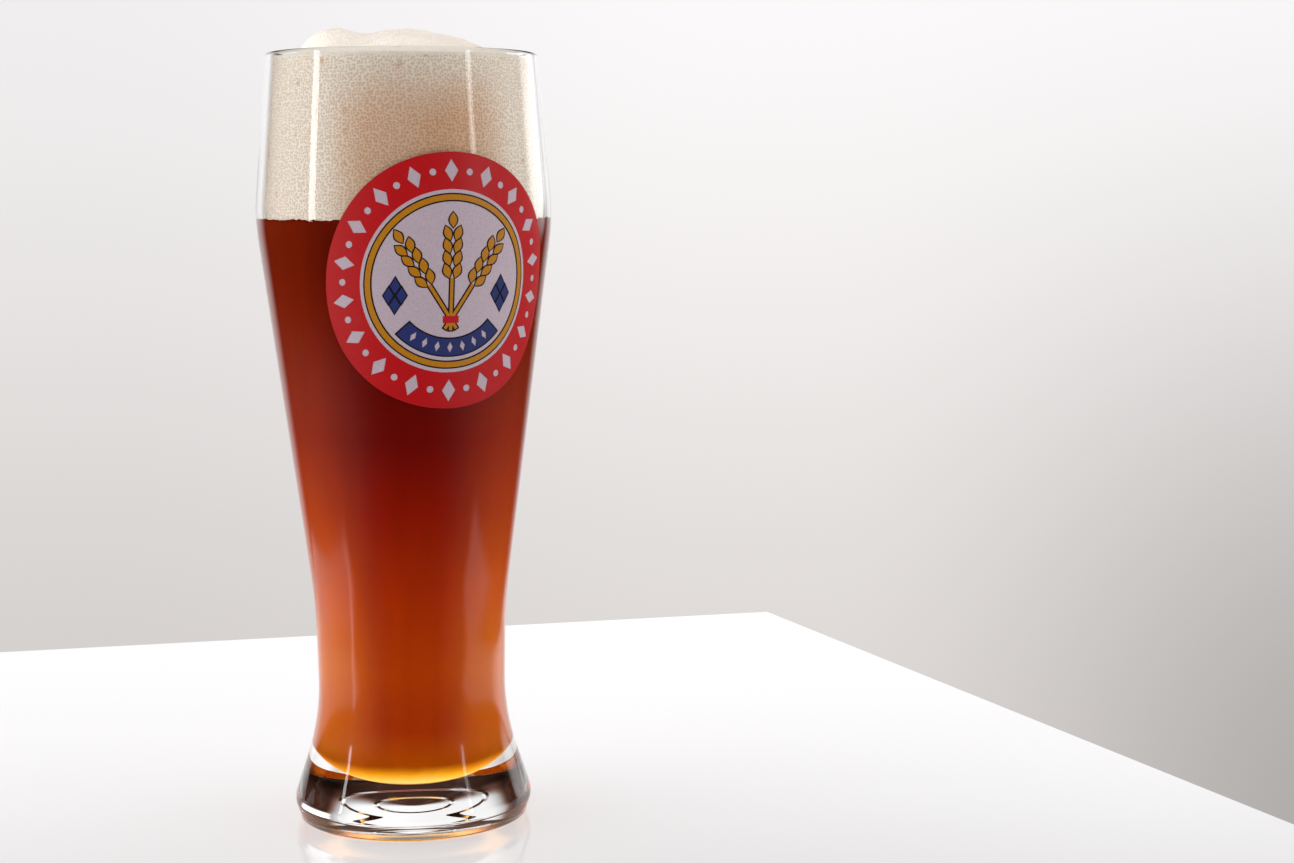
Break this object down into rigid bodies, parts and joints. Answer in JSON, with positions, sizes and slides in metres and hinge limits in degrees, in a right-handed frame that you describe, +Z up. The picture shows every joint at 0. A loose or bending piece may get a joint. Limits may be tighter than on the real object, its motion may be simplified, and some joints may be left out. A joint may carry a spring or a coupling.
{
  "type": "weizen glass",
  "caption": "Tall waisted half-litre wheat beer glass with a thick foot, filled with beer and foam, with a round printed decal on its front.",
  "frame": {"origin": "centre of the foot, on the surface that the glass stands on", "axes": "+Z up along the glass's axis, -Y to the front, +X to the right seen from the front"},
  "size_m": [0.084, 0.0842, 0.2286],
  "materials": {
    "clear_glass": "clear polished soda-lime glass",
    "beer": "clouded dark amber liquid, golden at the foot",
    "foam": "cream foam of fine bubbles",
    "white_ink": "fired white enamel ink",
    "red_ink": "fired red enamel ink",
    "black_ink": "fired black enamel ink",
    "gold_ink": "fired golden yellow enamel ink",
    "blue_ink": "fired dark blue enamel ink"
  },
  "bodies": {
    "root": {"glass": "clear_glass", "beer": "beer", "foam_head": "foam", "decal_white_ink": "white_ink", "decal_red_ink": "red_ink", "decal_black_ink": "black_ink", "decal_gold_ink": "gold_ink", "decal_blue_ink": "blue_ink"}
  },
  "joints": []
}
